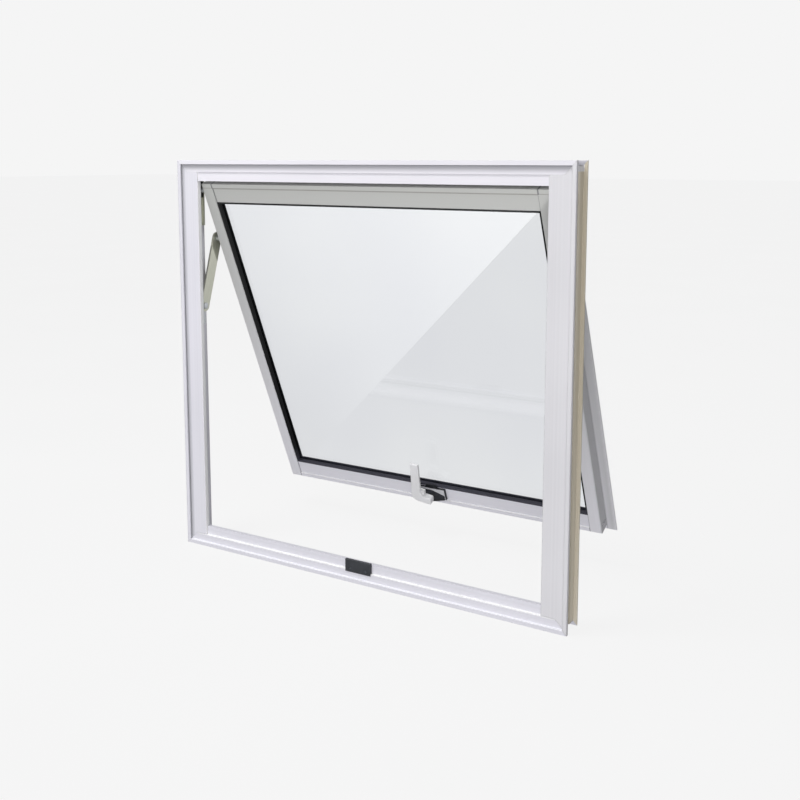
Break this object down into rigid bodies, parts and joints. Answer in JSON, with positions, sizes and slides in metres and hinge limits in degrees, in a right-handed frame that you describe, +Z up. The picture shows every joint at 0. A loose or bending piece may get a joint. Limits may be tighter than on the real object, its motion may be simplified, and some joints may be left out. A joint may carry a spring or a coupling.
{
  "type": "top-hung window",
  "caption": "Top-hung window: white frame, a glazed sash that swings out at the bottom on friction stays at its sides, and a lever handle that locks onto a striker on the sill.",
  "frame": {"origin": "underside of the sill's front lip, midway along it and midway through its depth", "axes": "+X to the right as seen from indoors, +Y from indoors to outdoors, +Z up"},
  "size_m": [0.64, 0.2508, 0.6],
  "materials": {
    "white_frame": "satin",
    "white_sash": "satin",
    "bare_aluminium": "satin",
    "seal_rubber": "matte",
    "gasket_rubber": "matte",
    "setting_plastic": "matte",
    "clear_glass": "gloss",
    "stay_steel": "satin",
    "pin_steel": "satin",
    "screw_steel": "satin",
    "shoe_nylon": "matte",
    "white_lever": "satin",
    "handle_black": "matte",
    "handle_grey": "satin",
    "striker_black": "matte"
  },
  "bodies": {
    "frame": {"left_jamb": "white_frame", "right_jamb": "white_frame", "head": "white_frame", "sill": "white_frame", "frame_corner_cleats": "bare_aluminium", "left_seal": "seal_rubber", "right_seal": "seal_rubber", "head_seal": "seal_rubber", "sill_seal": "seal_rubber", "striker": "striker_black", "striker_screws": "screw_steel", "left_stay_track": "stay_steel", "right_stay_track": "stay_steel", "stay_track_screws": "screw_steel", "arm_pivot_studs": "pin_steel"},
    "left_arm": {"left_stay_arm": "stay_steel"},
    "right_arm": {"right_stay_arm": "stay_steel"},
    "sash": {"left_stile": "white_sash", "right_stile": "white_sash", "top_rail": "white_sash", "bottom_rail": "white_sash", "sash_corner_blocks": "bare_aluminium", "sash_corner_screws": "screw_steel", "glass_pane": "clear_glass", "glazing_gasket": "gasket_rubber", "setting_blocks": "setting_plastic", "left_sash_bracket": "stay_steel", "right_sash_bracket": "stay_steel", "sash_bracket_screws": "screw_steel", "sash_stay_pins": "pin_steel", "handle_base": "handle_black", "handle_screws": "screw_steel", "handle_cover": "handle_grey", "handle_wedge": "handle_black", "handle_washer": "pin_steel", "handle_pivot_pin": "pin_steel"},
    "left_shoe": {"left_stay_shoe": "shoe_nylon"},
    "right_shoe": {"right_stay_shoe": "shoe_nylon"},
    "handle": {"handle_lever": "white_lever"}
  },
  "joints": [
    {"name": "left_stay_swing", "type": "hinge", "parent": "frame", "child": "left_arm", "pos_m": [-0.2949, 0.02415, 0.3768], "axis": [-1, 0, 0], "range_deg": [-17.33, 8.93]},
    {"name": "sash_swing", "type": "hinge", "parent": "left_arm", "child": "sash", "pos_m": [-0.2949, 0.05632, 0.4799], "axis": [1, 0, 0], "range_deg": [-40.44, 20.84]},
    {"name": "right_stay_swing", "type": "hinge", "parent": "frame", "child": "right_arm", "pos_m": [0.2949, 0.02415, 0.3768], "axis": [-1, 0, 0], "range_deg": [-17.34, 8.94]},
    {"name": "left_shoe_tilt", "type": "hinge", "parent": "sash", "child": "left_shoe", "pos_m": [-0.2984, 0.02415, 0.55532], "axis": [-1, 0, 0], "range_deg": [-23.11, 11.91]},
    {"name": "right_shoe_tilt", "type": "hinge", "parent": "sash", "child": "right_shoe", "pos_m": [0.2984, 0.02415, 0.55532], "axis": [-1, 0, 0], "range_deg": [-23.11, 11.91]},
    {"name": "handle_turn", "type": "hinge", "parent": "sash", "child": "handle", "pos_m": [-0.015, 0.20337, 0.0722], "axis": [0, 0.9198, 0.3923], "range_deg": [-9, 81]}
  ],
  "couplings": [
    {"joint": "sash_swing", "follows": "left_stay_swing", "ratio": 2.3329},
    {"joint": "right_stay_swing", "follows": "left_stay_swing", "ratio": 1},
    {"joint": "left_shoe_tilt", "follows": "left_stay_swing", "ratio": 1.3329},
    {"joint": "right_shoe_tilt", "follows": "left_stay_swing", "ratio": 1.3329}
  ]
}
